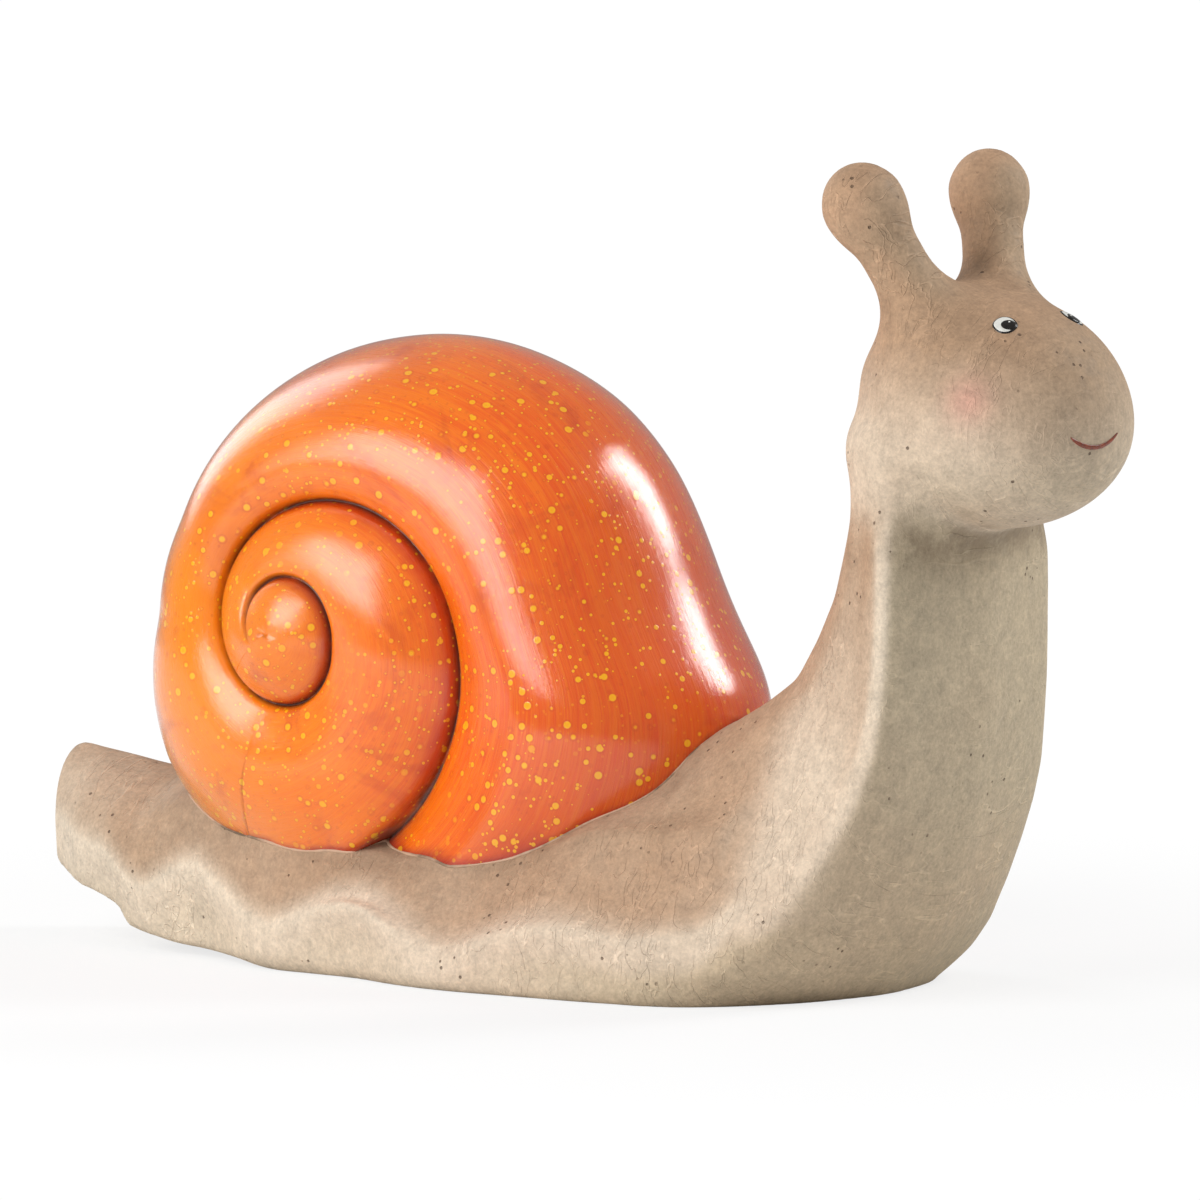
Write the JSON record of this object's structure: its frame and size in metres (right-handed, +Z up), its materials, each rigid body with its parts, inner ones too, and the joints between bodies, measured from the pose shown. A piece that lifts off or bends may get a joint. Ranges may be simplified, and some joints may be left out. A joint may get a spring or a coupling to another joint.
{
  "type": "snail figurine",
  "caption": "Free-standing ceramic snail ornament with a glazed spiral shell, frilled foot, raised neck and ball-ended eye stalks.",
  "frame": {"origin": "centre of the underside, on the surface that the snail stands on", "axes": "+X towards the head, +Y to the snail's left, +Z up"},
  "size_m": [0.4149, 0.1608, 0.274],
  "materials": {
    "body": "matt cold-painted terracotta",
    "stalk": "matt cold-painted terracotta",
    "shell": "glossy glaze",
    "bead": "bare pale slip",
    "slab": "bare fired clay",
    "mouth": "satin enamel",
    "eye_black": "gloss enamel",
    "eye_white": "gloss enamel"
  },
  "bodies": {
    "root": {"body_casting": "body", "shell_casting": "shell", "shell_seam": "bead", "eye_stalk_right": "stalk", "eye_stalk_left": "stalk", "mouth_line": "mouth", "base_slab": "slab", "eye_outline_right": "eye_black", "eye_white_right": "eye_white", "eye_pupil_right": "eye_black", "eye_outline_left": "eye_black", "eye_white_left": "eye_white", "eye_pupil_left": "eye_black"}
  },
  "joints": []
}
